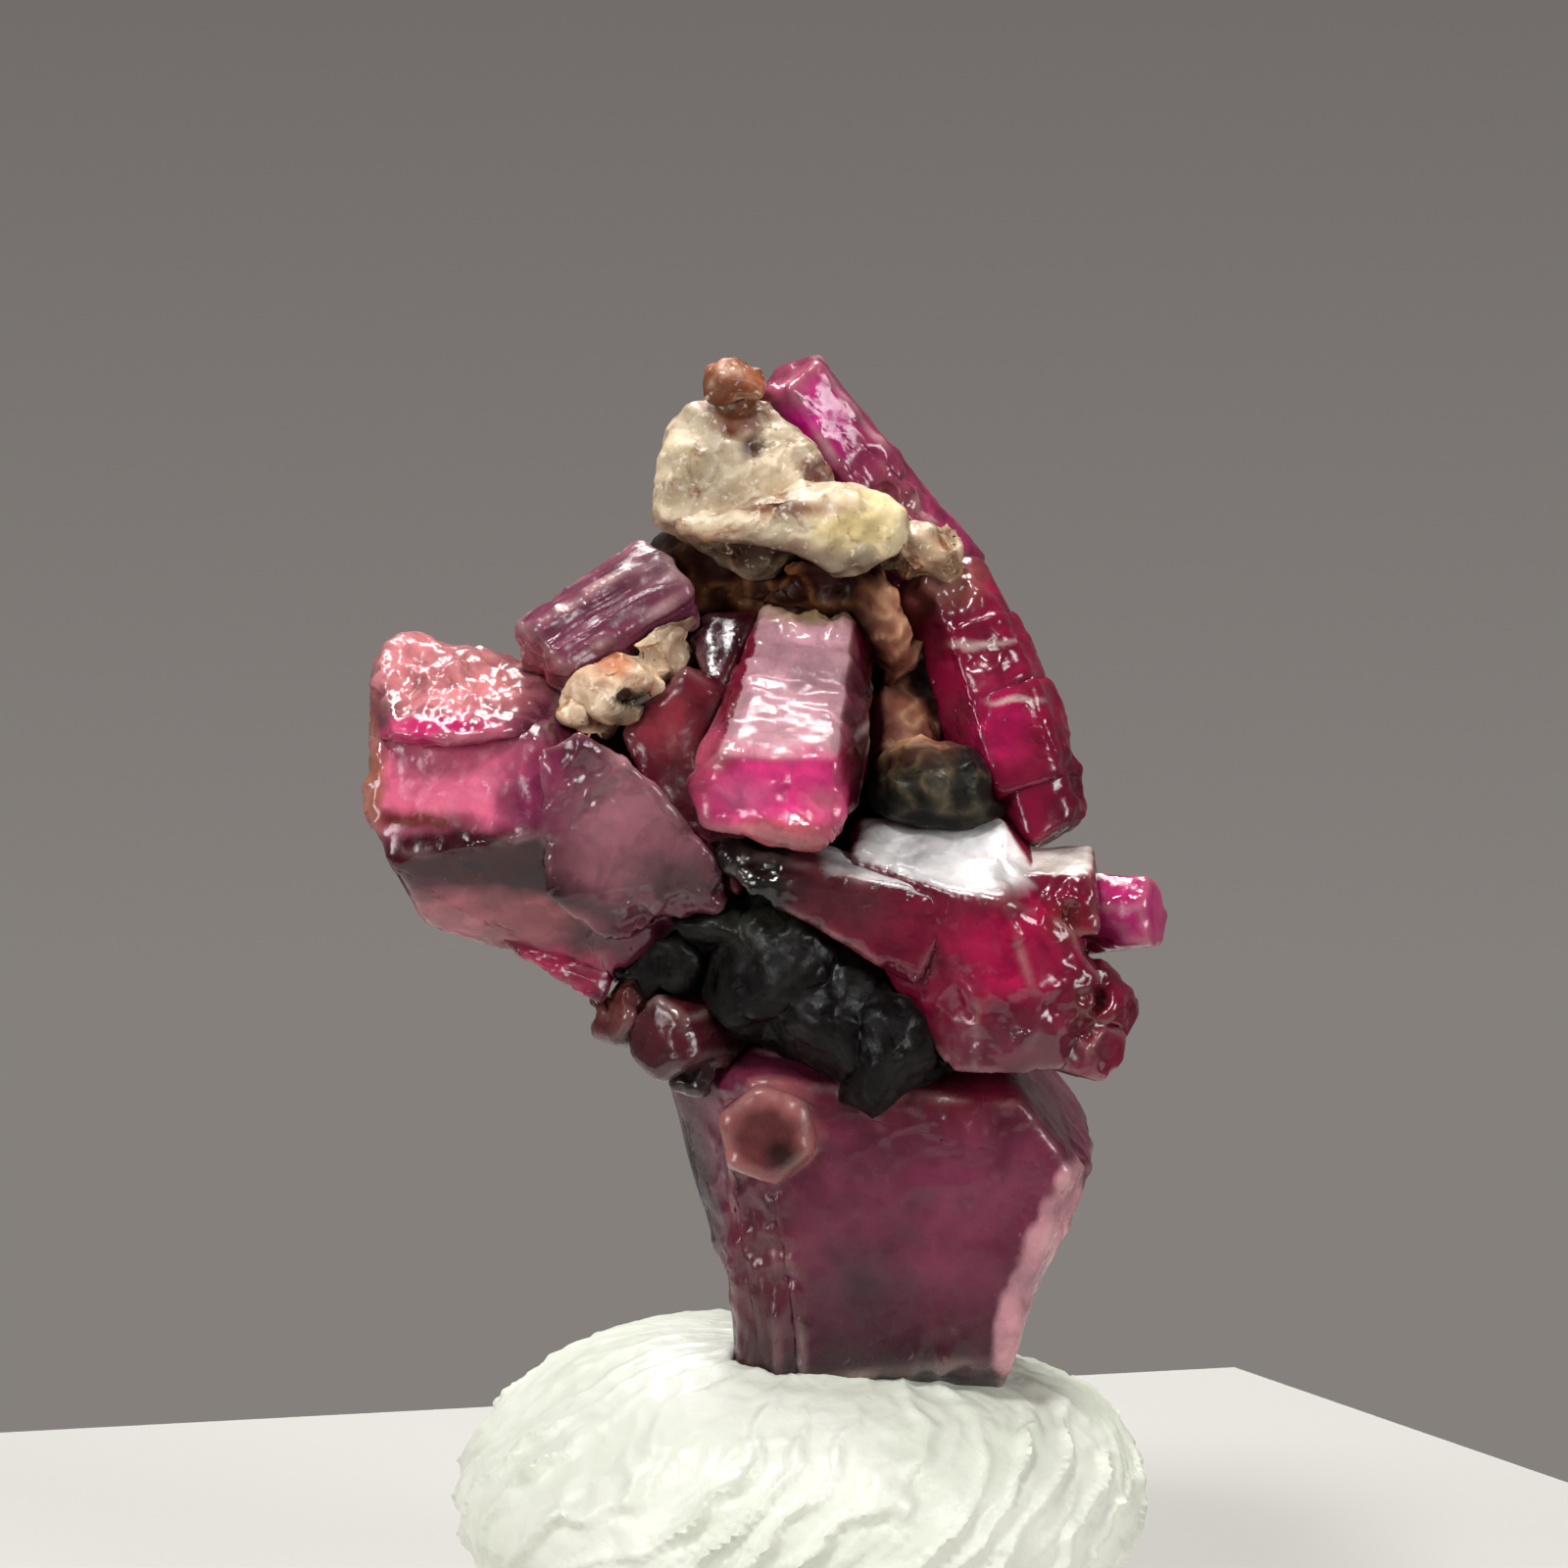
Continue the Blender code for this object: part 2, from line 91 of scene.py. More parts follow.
# %% [markdown]
# ## Where the edges are
# Crystals chip and wear along their edges first. The edges are found on the solid, where they are still
# straight: wherever two faces meet at more than 25 degrees. Points along them go into a search tree, and every
# point of the fine mesh can then ask how far the nearest edge is.

# %% Find the edges
SHARP = math.radians(25)
EDGE_STEP = 0.06  # how far apart the points along an edge are, in millimetres


def edge_finder(made):
    """A search tree of points along the solid's outward edges."""
    points = [Vector((1, 1, 1))]
    for edge in made.edges:
        if len(edge.link_faces) == 2 and edge.calc_face_angle_signed() > SHARP:
            first, last = edge.verts[0].co, edge.verts[1].co
            count = max(2, int((last - first).length / (EDGE_STEP * MM)))
            points += [first.lerp(last, step / count) for step in range(count + 1)]
    tree = kdtree.KDTree(len(points))
    for number, point in enumerate(points):
        tree.insert(point, number)
    tree.balance()
    return tree


# %% [markdown]
# ## Blobs
# Two things change from place to place on one crystal: its colour, and how rough it is. Both are told with soft
# blobs, each with a centre, a reach along X, Y and Z, and a hardness. A blob can also be kept to the faces that
# look one way, which paints one face of a crystal and leaves the next. That is how the painted reflections on
# faces that look up, and the painted shade on a face that looks away, are put on.

# %% Blobs
def blob(centre, reach, value, hardness=1.5, facing=None):
    reach = reach if isinstance(reach, tuple) else (reach, reach, reach)
    return centre, reach, value, hardness, Vector(facing).normalized() if facing else None


def blob_share(blob_here, point, normal):
    """How strongly a blob is felt at the point, from 0 to 1."""
    centre, reach, _, hardness, facing = blob_here
    distance = math.sqrt(sum(((point[i] - centre[i]) / reach[i]) ** 2 for i in range(3)))
    share = min(1.0, max(0.0, (1.0 - distance) * hardness))
    if share and facing:
        share *= min(1.0, max(0.0, (normal.dot(facing) - 0.72) * 6))
    return share


# %% [markdown]
# ## Relief
# A crystal's face is nearly flat, with faint bowls that meet in fine curved ridges, like the marks in broken
# glass. The distance of plain noise from zero gives just that. Broken rock is made of small tilted flats: each
# point of a Voronoi pattern carries a shallow bowl of its own, and the lowest bowl wins. They meet in ridges
# with no cliff between them. A flat for each cell would be simpler, but its cliffs look like popcorn.

# %% Bowls, flats, steps and nodules
def ridges(point, width, seed):
    """Smooth bowls that meet in crisp curved ridges, from 0 in a bowl to 1 on a ridge."""
    return 1 - min(1.0, abs(noise.noise(point / width + Vector((seed, 0, 0)))) * 2.5)


def flats(point, width, seed):
    """Tilted shallow bowls that meet in crisp ridges, as on broken stone, from about -1 to 1."""
    place = point / width + Vector((seed, 0, 0))
    distances, centres = noise.voronoi(place)
    heights = []
    for distance, centre in zip(distances[:3], centres):
        tilt = noise.cell_vector(centre * 9.7) * 1.4 - Vector((0.7, 0.7, 0.7))
        heights.append((place - centre).dot(tilt) + 1.6 * distance * distance)
    return 1.3 * min(0.7, *heights) - 0.55


def steps(point, width, seed):
    """The height of the level step that the point is on, from -1 to 1."""
    return noise.cell(noise.voronoi(point / width + Vector((seed, 0, 0)))[1][0] * 9.7)


def along(point, axis, stretch):
    """The point with its distances along the axis shortened, so that a pattern is drawn out along it."""
    return point - axis * (point.dot(axis) * (1 - 1 / stretch))


def broken(rough, point, normal, seed):
    """The height that the rough places add at the point."""
    height = 0.0
    for spot in rough:
        share = blob_share(spot, point, normal)
        if share:
            height += share * spot[2] * (flats(point, 0.75, seed + 2) + 0.4 * flats(point, 0.32, seed + 4))
    return height


def crystal_relief(axis, width=1.6, depth=0.03, rungs=0.0, chip=0.12, stretch=2.2, seed=0, rough=(), swell=()):
    """A crystal that grew along the axis: faint long bowls, cross rungs, chipped edges and rough places."""
    axis = Vector(axis).normalized()

    def relief(point, normal, edge_distance):
        long_point = along(point, axis, stretch)
        height = depth * (noise.noise(long_point / width) * 1.6 + 0.5 * ridges(long_point, width * 0.7, seed))
        if rungs:
            ladder = point.dot(axis) * 1.5 + noise.noise(point * 0.6) * 0.5
            height += rungs * ridges(Vector((ladder, 0.3 * point.x, 0.3 * point.z)), 1.0, seed)
        near_edge = math.exp(-(edge_distance / 0.16) ** 2)
        if near_edge > 0.02:
            height -= chip * near_edge * max(0.0, steps(point, 0.5, seed + 9))
        height += sum(spot[2] * blob_share(spot, point, normal) for spot in swell)
        return height + broken(rough, point, normal, seed)

    return relief


def rock_relief(width=1.2, depth=0.2, grain_depth=0.03, seed=0):
    """Broken rock: strong flats of two sizes with grains on them."""
    def relief(point, normal, edge_distance):
        bent = point + 0.1 * noise.noise_vector(point * 0.8)
        height = depth * flats(bent, width, seed) + depth * 0.4 * flats(bent, width * 0.35, seed + 3)
        height += grain_depth * steps(point, 0.24, seed + 6)
        return height - 0.08 * math.exp(-(edge_distance / 0.2) ** 2)

    return relief


def nodule_relief(size=1.0, depth=0.2, seed=0, rough=(), veins=()):
    """The dark rock: rounded nodules that press on one another, rough places and curled veins."""
    def relief(point, normal, edge_distance):
        bent = point + 0.25 * noise.noise_vector(point * 1.1)
        broad = noise.voronoi(bent / size + Vector((seed, 0, 0)))[0][0]
        height = depth * (0.5 - broad ** 2) + 0.05 * flats(bent, 0.4, seed + 7) + 0.02 * steps(point, 0.2, seed)
        height += sum(spot[2][0] * vein_share(spot, point, normal) for spot in veins)
        return height + broken(rough, point, normal, seed) - 0.08 * math.exp(-(edge_distance / 0.3) ** 2)

    return relief


def vein_share(spot, point, normal):
    """How strongly a curled vein is felt at the point, from 0 to 1."""
    share = blob_share(spot, point, normal)
    return share * ridges(point, 0.62, 4.0) ** 3 if share else 0.0


# %% [markdown]
# ## Colour by place
# A ruby isn't one pink. It glows where light passes through it, goes dark over rock, and is pale on a chip. Each
# piece gets a colour attribute: a base colour, the blobs on top of it, a little change from one flat to the
# next, and a pale line along the worn edges. Some blobs are painted light: a painted glow in the hottest pink
# spots, painted highlights and reflections, and painted shade and shadow. The material adds the finest variation.

# %% Paint
def blend_colours(first, second, share):
    return tuple(a + (b - a) * share for a, b in zip(first, second))


def painted(point, normal, edge_distance, look):
    wobble = point + 0.16 * noise.noise_vector(point * 2.1)
    colour = look["base"]
    for spot in look["blobs"]:
        colour = blend_colours(colour, spot[2], blob_share(spot, wobble, normal))
    patch = 1 + look["patches"] * steps(wobble, 0.7, 2.0)
    colour = tuple(part * patch for part in colour)
    for spot in look["veins"]:
        colour = blend_colours(colour, spot[2][1], vein_share(spot, point, normal))
    worn = look["wear"] * math.exp(-(edge_distance / 0.09) ** 2) * max(0.0, 0.4 + noise.noise(point * 1.1) * 1.4)
    return blend_colours(colour, look["worn_colour"], min(1.0, worn))


# %% [markdown]
# ## From solid to piece
# One function does the same five steps for every piece. It refines the copy, softens its edges, lifts it a
# little so that the seams between the solids close, moves each point along its normal by the relief, and stores
# the colours.

# %% Dress a node
SEAM_FILL = 0.11  # half of the seam between two solids, in millimetres
CREASE = math.radians(28)
# the pale colour of chips along worn edges, also used for painted highlights
CHIP_AND_HIGHLIGHT = srgb(232, 196, 190)


def smooth(made, times):
    for _ in range(times):
        bmesh.ops.smooth_vert(made, verts=made.verts, factor=0.5, use_axis_x=True, use_axis_y=True,
                              use_axis_z=True)


def unmoved(point):
    return Vector()


def dress(node, material, grain, relief, base, blobs=(), wear=0.3, worn_colour=CHIP_AND_HIGHLIGHT, patches=0.2, veins=(),
          soften=1, settle=1, shift=unmoved):
    """A fine piece in place of the node's solid.

    The edges are softened before the relief and settled after it. shift moves a point by a given offset, in
    millimetres.
    """
    look = {"base": base, "blobs": blobs, "wear": wear, "worn_colour": worn_colour, "patches": patches,
            "veins": veins}
    made = merged_copy(node)
    edges = edge_finder(made)
    refine(made, grain)
    smooth(made, soften)
    made.normal_update()
    places = [(vert, vert.normal.copy(), vert.co / MM, edges.find(vert.co)[2] / MM) for vert in made.verts]
    colours = []
    for vert, normal, point, edge_distance in places:
        lift = SEAM_FILL + relief(point, normal, edge_distance)
        vert.co = vert.co + (normal * lift + shift(point)) * MM
        vert.co.z = max(vert.co.z, 0.0)
        colours += [*painted(point, normal, edge_distance, look), 1.0]
    smooth(made, settle)
    mesh = bpy.data.meshes.new(node + "_fine")
    made.to_mesh(mesh)
    made.free()
    mesh.color_attributes.new("tint", "FLOAT_COLOR", "POINT").data.foreach_set("color", colours)
    mesh.shade_smooth()
    mesh.set_sharp_from_angle(angle=CREASE)
    mesh.materials.append(material)
    obj = bpy.data.objects.new(node + "_fine", mesh)
    bpy.context.scene.collection.objects.link(obj)
    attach(obj, "root")
    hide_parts(node)
    print(node, len(mesh.polygons), "triangles")
    return obj


# %% [markdown]
# ## The ruby
# Ruby bends light strongly, so its IOR is 1.77 and its faces glint like glass. Inside it is cloudy: some light
# passes, some scatters and comes out pinker. The Principled shader has all three, as gloss, transmission and
# subsurface. A fine Voronoi pattern tips the normal a little from grain to grain, which breaks the reflection of
# the lamp into sparkles.

# %% Nodes that every material uses
def new_material(name):
    made = bpy.data.materials.new(name)
    made.use_nodes = True
    return made, made.node_tree.nodes, made.node_tree.links, made.node_tree.nodes["Principled BSDF"]


def pattern(nodes, links, kind, scale, **values):
    """A texture on Object coordinates, whose scale is counted in patterns to a metre."""
    place = nodes.get("place") or nodes.new("ShaderNodeTexCoord")
    place.name = "place"
    texture = nodes.new(kind)
    texture.inputs["Scale"].default_value = scale
    for socket, value in values.items():
        texture.inputs[socket].default_value = value
    links.new(place.outputs["Object"], texture.inputs["Vector"])
    return texture


def ramp(nodes, links, source, *stops):
    """A colour ramp on a source, with stops of place and colour."""
    made = nodes.new("ShaderNodeValToRGB")
    while len(made.color_ramp.elements) < len(stops):
        made.color_ramp.elements.new(0.5)
    for element, (place, colour) in zip(made.color_ramp.elements, stops):
        element.position = place
        element.color = (*colour, 1.0)
    links.new(source, made.inputs["Fac"])
    return made.outputs["Color"]


def mixed(nodes, links, share, first, second, kind="MIX"):
    """Two colours mixed. share is a number or a socket."""
    made = nodes.new("ShaderNodeMix")
    made.data_type = "RGBA"
    made.blend_type = kind
    if isinstance(share, float):
        made.inputs["Factor"].default_value = share
    else:
        links.new(share, made.inputs["Factor"])
    for socket, value in ((made.inputs[6], first), (made.inputs[7], second)):
        if isinstance(value, tuple):
            socket.default_value = (*value, 1.0)
        else:
            links.new(value, socket)
    return made.outputs[2]


def grey(value):
    return (value, value, value)


def vector_step(nodes, links, operation, first, second):
    """One step of vector arithmetic. second is a socket, three numbers or the number of a scale."""
    made = nodes.new("ShaderNodeVectorMath")
    made.operation = operation
    links.new(first, made.inputs[0])
    if isinstance(second, (tuple, float)):
        made.inputs["Scale" if operation == "SCALE" else 1].default_value = second
    elif second:
        links.new(second, made.inputs[1])
    return made.outputs[0]


def tip_grains(nodes, links, shader, scale, strength, bump_scale, bump_distance):
    """Tips the normal from grain to grain, on top of a fine bump."""
    grains = pattern(nodes, links, "ShaderNodeTexVoronoi", scale)
    centred = vector_step(nodes, links, "SUBTRACT", grains.outputs["Color"], (0.5, 0.5, 0.5))
    tipped = vector_step(nodes, links, "SCALE", centred, strength)
    rough = pattern(nodes, links, "ShaderNodeTexNoise", bump_scale, Detail=6.0, Roughness=0.6)
    bump = nodes.new("ShaderNodeBump")
    bump.inputs["Strength"].default_value = 0.5
    bump.inputs["Distance"].default_value = bump_distance
    links.new(rough.outputs["Fac"], bump.inputs["Height"])
    added = vector_step(nodes, links, "ADD", bump.outputs["Normal"], tipped)
    links.new(vector_step(nodes, links, "NORMALIZE", added, None), shader.inputs["Normal"])


# %% Ruby material
def ruby(name, clear, glow, rough_low, rough_high, tip):
    made, nodes, links, shader = new_material(name)
    tint = nodes.new("ShaderNodeVertexColor")
    tint.layer_name = "tint"
    cloud = pattern(nodes, links, "ShaderNodeTexNoise", 800.0, Detail=8.0, Roughness=0.62, Distortion=0.5)
    veil = ramp(nodes, links, cloud.outputs["Fac"], (0.35, grey(0.55)), (0.52, grey(0.82)), (0.70, grey(1.0)))
    shaded = mixed(nodes, links, 1.0, tint.outputs["Color"], veil, "MULTIPLY")
    flecks = pattern(nodes, links, "ShaderNodeTexNoise", 2600.0, Detail=5.0, Roughness=0.6, Distortion=0.8)
    dust = ramp(nodes, links, flecks.outputs["Fac"], (0.66, grey(0.0)), (0.78, grey(0.25)))
    colour = mixed(nodes, links, dust, shaded, srgb(214, 150, 160))
    links.new(colour, shader.inputs["Base Color"])
    patches = pattern(nodes, links, "ShaderNodeTexNoise", 1500.0, Detail=5.0, Roughness=0.6)
    roughness = ramp(nodes, links, patches.outputs["Fac"], (0.35, grey(rough_low)), (0.65, grey(rough_high)))
    links.new(roughness, shader.inputs["Roughness"])
    shader.inputs["IOR"].default_value = 1.77
    shader.inputs["Specular IOR Level"].default_value = 0.28
    shader.inputs["Transmission Weight"].default_value = clear
    shader.inputs["Subsurface Weight"].default_value = glow
    shader.inputs["Subsurface Radius"].default_value = (1.0, 0.15, 0.3)
    shader.inputs["Subsurface Scale"].default_value = 0.5 * MM
    tip_grains(nodes, links, shader, 4200.0, tip, 3600.0, 0.02 * MM)
    return made


bright_ruby = ruby("bright_ruby", clear=0.18, glow=0.25, rough_low=0.10, rough_high=0.26, tip=0.08)
dusty_ruby = ruby("dusty_ruby", clear=0.06, glow=0.12, rough_low=0.18, rough_high=0.34, tip=0.05)
deep_ruby = ruby("deep_ruby", clear=0.12, glow=0.10, rough_low=0.12, rough_high=0.32, tip=0.10)
print("rubies:", bright_ruby.name, dusty_ruby.name, deep_ruby.name)

# %% [markdown]
# ## The crystals
# The colours and the blobs below are given one by one. Places are in millimetres on the specimen, and each relief
# runs along the axis that its crystal grew on.

# %% Colours of the rubies
HOT = srgb(232, 40, 126)
PINK = srgb(232, 108, 144)
ROSE = srgb(188, 106, 122)
CRIMSON = srgb(140, 20, 56)
WINE = srgb(84, 18, 38)
MAUVE = srgb(170, 108, 120)
PURPLE = srgb(126, 60, 84)
# painted reflection: the silver-pink of a top face that mirrors the lamps
TOP_FACE_REFLECTION = srgb(222, 166, 178)
RUSTY = srgb(178, 88, 60)
BLACKISH = srgb(22, 16, 16)
GRAIN = 0.12  # the longest edge of a crystal's fine mesh, in millimetres

# %% The foot
PRESS_FROM = 9.2  # the height from which the foot is drawn down, in millimetres
PRESS_DEPTH = 0.95


def press_into_putty(point):
    """Draws the foot down, so that no gap shows between it and the hollow that it has pressed."""
    share = min(1.0, max(0.0, (PRESS_FROM - point.z) / 1.8))
    return Vector((0, 0, -PRESS_DEPTH * share * share * (3 - 2 * share)))


dress(
    "foot_ruby", dusty_ruby, GRAIN * 1.2,
    crystal_relief((0.08, 0, 1), width=2.0, depth=0.03, stretch=0.8, seed=1, rough=[
        blob((-1.6, -2.9, 10.0), (1.6, 2.4, 4.4), 0.16),
        blob((3.6, -3.6, 13.2), (3.0, 1.6, 1.0), 0.10),
        blob((3.2, -3.6, 8.2), (1.4, 1.2, 0.5), 0.22),
        blob((6.4, -2.6, 10.6), (1.0, 3.0, 3.6), 0.14),
    ]),
    srgb(112, 40, 66),
    blobs=[
        blob((4.4, -3.4, 11.4), (2.6, 3.0, 2.6), srgb(128, 44, 76), 1.0),
        blob((1.4, -3.4, 9.4), (1.5, 3.0, 1.8), srgb(72, 34, 50), 1.0),
        # painted shadow: a dark band along the foot's top, under the front crystal
        blob((3.2, -3.6, 13.8), (4.6, 3.0, 1.0), srgb(104, 20, 40), 1.2),
        blob((-0.9, -3.0, 9.4), (1.2, 2.2, 3.6), srgb(104, 46, 54), 1.4),
        # painted shade on the foot's left side
        blob((-2.6, 0.0, 10.0), (1.3, 3.4, 4.8), srgb(44, 28, 34), 1.8),
        # painted shade: the foot darkens towards its base, nearly black where it meets the putty
        blob((2.0, -2.5, 7.2), (6.0, 4.6, 2.8), srgb(46, 10, 22), 1.4),
        blob((1.5, -3.0, 6.9), (7.0, 6.0, 1.7), srgb(12, 4, 6), 2.0),
        blob((-0.75, -4.1, 13.0), (1.5, 1.2, 1.5), srgb(172, 102, 100), 3.0),
        blob((-0.75, -4.1, 12.9), (0.95, 1.2, 0.95), srgb(104, 48, 50), 2.6),
        blob((-0.4, -4.3, 12.6), (0.7, 0.6, 0.5), srgb(52, 18, 20), 1.6),
        # painted highlights: pale strokes down the foot's right bevel
        *[blob((4.75 + 0.34 * step, -3.4, 8.6 + 0.75 * step), (0.42, 2.5, 0.8), srgb(212, 150, 160), 3.0)
          for step in range(5)],
    ],
    patches=0.1, soften=2, shift=press_into_putty,
)

# %% The left crystal
dress(
    "left_ruby", bright_ruby, GRAIN,
    crystal_relief((0.9, 0, -0.35), width=2.2, depth=0.016, stretch=2.6, seed=2, rough=[
        blob((-7.9, -3.0, 23.2), (2.8, 4.0, 1.5), 0.38),
        blob((-9.6, -3.0, 21.0), (0.7, 2.5, 2.4), 0.2),
        blob((-4.8, -4.4, 21.2), (1.6, 1.5, 1.6), 0.2),
        blob((-3.0, -3.6, 18.0), (2.4, 1.5, 1.1), 0.34),
    ]),
    srgb(104, 40, 62),
    blobs=[
        blob((-8.0, -4.4, 21.0), (2.6, 3.0, 1.9), srgb(244, 116, 152), 2.6),
        blob((-5.8, -4.4, 20.5), (1.2, 1.5, 1.7), srgb(150, 48, 92), 1.6),
        blob((-7.8, -2.6, 23.6), (2.8, 4.4, 1.6), srgb(226, 142, 146), 2.2),
        blob((-6.6, -2.4, 24.2), (1.0, 2.4, 0.6), srgb(222, 152, 124), 1.6),
        # painted glow: the hot pink wedge where light passes through the crystal
        blob((-8.2, -4.4, 22.15), (1.7, 2.4, 0.32), srgb(222, 52, 120), 2.0),
        blob((-8.6, -4.4, 20.2), (1.7, 1.6, 0.3), srgb(128, 48, 44), 1.8),
        blob((-7.0, -4.4, 19.4), (3.4, 2.0, 0.85), srgb(68, 6, 18), 2.6),
        blob((-4.8, -4.2, 18.6), (2.6, 1.6, 0.7), srgb(52, 18, 26), 1.8),
        blob((-7.1, -3.4, 17.9), (3.0, 2.4, 0.95), srgb(198, 110, 122), 2.2),
        blob((-5.6, -2.4, 16.6), (1.9, 1.8, 0.8), srgb(186, 56, 92), 2.0),
        blob((-3.6, -4.5, 20.1), (2.4, 1.2, 2.4), MAUVE, 2.2),
        blob((-2.9, -4.3, 18.9), (1.6, 0.9, 0.9), srgb(112, 80, 84), 1.6),
        blob((-7.3, -4.7, 19.25), (0.34, 0.9, 0.27), BLACKISH, 6.0),
        blob((-9.7, -3.0, 21.0), (0.5, 2.5, 2.2), srgb(196, 116, 96), 1.6),
    ],
)

# %% The centre crystal
def narrow_right_side(point):
    """Draws the right side in, to the width that the crystal shows from the front."""
    return Vector((-0.42 * max(0.0, point.x - 0.6), 0, 0))


dress(
    "centre_ruby", bright_ruby, GRAIN * 0.9,
    crystal_relief((-0.2, -0.76, -0.62), width=1.2, depth=0.04, rungs=0.07, stretch=0.5, seed=3, rough=[
        blob((0.2, -1.4, 24.5), (1.6, 1.4, 1.0), 0.3),
        blob((-0.4, -5.0, 20.9), (1.8, 1.4, 1.0), 0.1),
    ], swell=[
        blob((-0.3, -5.0, 20.0), (2.2, 1.6, 0.7), 0.3),
    ]),
    CRIMSON,
    blobs=[
        # painted reflection: the silver-pink top face that looks up at the lamps
        blob((-0.2, -3.2, 23.2), (3.0, 4.0, 3.0), TOP_FACE_REFLECTION, 3.0, facing=(0.0, -0.62, 0.78)),
        # painted glow: the hot pink end face and two brighter spots in it
        blob((-0.5, -5.2, 20.9), (2.4, 1.4, 1.1), srgb(242, 66, 142), 2.6),
        blob((-1.2, -5.2, 20.9), (0.9, 1.2, 0.6), srgb(240, 110, 160), 1.2),
        blob((0.6, -5.2, 20.8), (0.7, 1.2, 0.5), srgb(236, 120, 150), 1.2),
        blob((-0.4, -5.2, 20.1), (2.0, 1.0, 0.45), srgb(230, 112, 126), 2.0),
        blob((-2.0, -4.0, 21.6), (0.7, 1.6, 1.2), srgb(196, 82, 112), 1.6),
        # painted shade on the right side face, which looks away from the lamps
        blob((2.2, -2.6, 21.8), (1.6, 3.4, 3.4), srgb(58, 12, 24), 2.4, facing=(0.9, -0.4, 0.1)),
        blob((0.3, -1.4, 24.5), (1.6, 1.0, 0.5), srgb(196, 164, 120), 1.4),
    ],
    wear=0.4, shift=narrow_right_side,
)

# %% The right crystal
dress(
    "right_ruby", bright_ruby, GRAIN,
    crystal_relief((0.37, -0.2, -0.9), width=1.4, depth=0.06, chip=0.05, stretch=1.6, seed=4, rough=[
        blob((3.2, -0.8, 25.2), (1.4, 1.8, 1.1), 0.4),
        blob((4.3, -1.6, 23.7), (1.4, 1.6, 0.6), 0.24),
        blob((6.2, -1.4, 21.4), (0.7, 1.8, 2.4), 0.2),
    ]),
    srgb(150, 22, 62),
    blobs=[
        # painted glow: the hot pink patch
        blob((4.6, -1.8, 22.0), (0.8, 1.6, 1.2), srgb(206, 26, 98), 1.8),
        blob((3.2, -0.8, 25.3), (1.3, 1.8, 1.0), srgb(176, 110, 100), 1.6),
        blob((5.9, -1.4, 20.4), (0.8, 1.8, 1.6), srgb(106, 16, 44), 1.4),
        # painted highlights: two thin pale lines along growth ledges
        blob((4.2, -1.8, 23.9), (1.0, 1.2, 0.14), CHIP_AND_HIGHLIGHT, 1.6),
        blob((4.9, -2.2, 22.6), (0.9, 1.2, 0.12), CHIP_AND_HIGHLIGHT, 1.6),
    ],
    wear=0.0, soften=9,
)

# %% The crest crystal
dress(
    "crest_ruby", bright_ruby, GRAIN * 0.9,
    crystal_relief((-0.6, 0, 0.8), width=1.0, depth=0.05, stretch=1.6, seed=5, rough=[
        blob((2.4, -0.2, 26.6), (2.0, 2.0, 2.4), 0.3),
        blob((-0.4, -0.2, 29.9), (1.0, 1.4, 0.8), 0.24),
    ]),
    srgb(164, 54, 98),
    blobs=[
        # painted glow: the hot pink patch near the tip
        blob((0.4, -0.4, 28.8), (0.9, 1.6, 1.2), srgb(226, 22, 150), 1.8),
        blob((-0.4, -0.2, 29.9), (0.9, 1.4, 0.7), srgb(204, 110, 136), 1.4),
        blob((2.3, -0.2, 26.6), (1.0, 1.6, 1.6), srgb(156, 84, 96), 1.2),
        blob((3.4, 0.0, 25.0), (0.9, 1.6, 0.9), CRIMSON, 1.4),
    ],
    wear=0.6,
)

# %% The shoulder crystal
dress(
    "shoulder_ruby", dusty_ruby, GRAIN * 0.9,
    crystal_relief((0.85, 0.3, 0.45), width=0.45, depth=0.09, rungs=0.03, stretch=4.0, seed=6),
    PURPLE,
    blobs=[
        blob((-5.9, -1.9, 23.3), (1.0, 1.8, 0.9), srgb(140, 54, 66), 1.4),
        blob((-3.2, -1.0, 25.6), (1.2, 1.6, 0.7), srgb(160, 112, 120), 1.4),
    ],
    wear=0.6,
)

# %% The front crystal
dress(
    "front_ruby", bright_ruby, GRAIN,
    crystal_relief((0.5, -0.1, -0.85), width=1.5, depth=0.035, stretch=2.2, seed=7, rough=[
        blob((6.4, -3.8, 16.2), (1.3, 1.8, 1.8), 0.4),
        blob((5.8, -4.2, 18.2), (1.0, 1.0, 1.0), 0.24),
        blob((4.6, -4.8, 16.0), (2.4, 1.6, 1.2), 0.12),
        blob((-1.2, -4.2, 19.0), (1.6, 1.8, 1.6), 0.2),
    ], swell=[
        blob((-0.4, -3.8, 19.8), (2.6, 1.8, 0.8), 0.3),
    ]),
    srgb(136, 22, 56),
    blobs=[
        # painted glow: the hot pink spot on the front face
        blob((4.8, -5.0, 17.4), (1.7, 2.0, 1.3), srgb(200, 14, 82), 2.0),
        blob((0.8, -4.4, 18.8), (1.9, 1.6, 1.6), srgb(104, 42, 52), 1.8),
        blob((-1.4, -4.2, 19.0), (1.8, 2.2, 1.8), srgb(36, 32, 28), 2.4),
        blob((4.6, -4.6, 15.1), (2.8, 2.0, 1.0), srgb(122, 48, 66), 1.8),
        blob((7.6, -3.2, 18.0), (1.2, 1.6, 1.2), srgb(206, 44, 124), 2.0),
        blob((5.9, -4.2, 17.9), (0.8, 1.2, 0.6), srgb(134, 28, 36), 2.0),
        blob((6.4, -3.8, 16.0), (0.8, 1.6, 1.3), srgb(120, 34, 46), 1.8),
        # painted reflection: the white top faces that look up at the lamps
        blob((3.0, -3.4, 19.4), (2.8, 3.0, 1.6), srgb(255, 250, 250), 4.0, facing=(0, -0.45, 0.89)),
        blob((6.0, -3.0, 19.1), (1.4, 2.0, 0.6), srgb(250, 236, 228), 3.0, facing=(0, -0.2, 0.97)),
    ],
    soften=2,
)

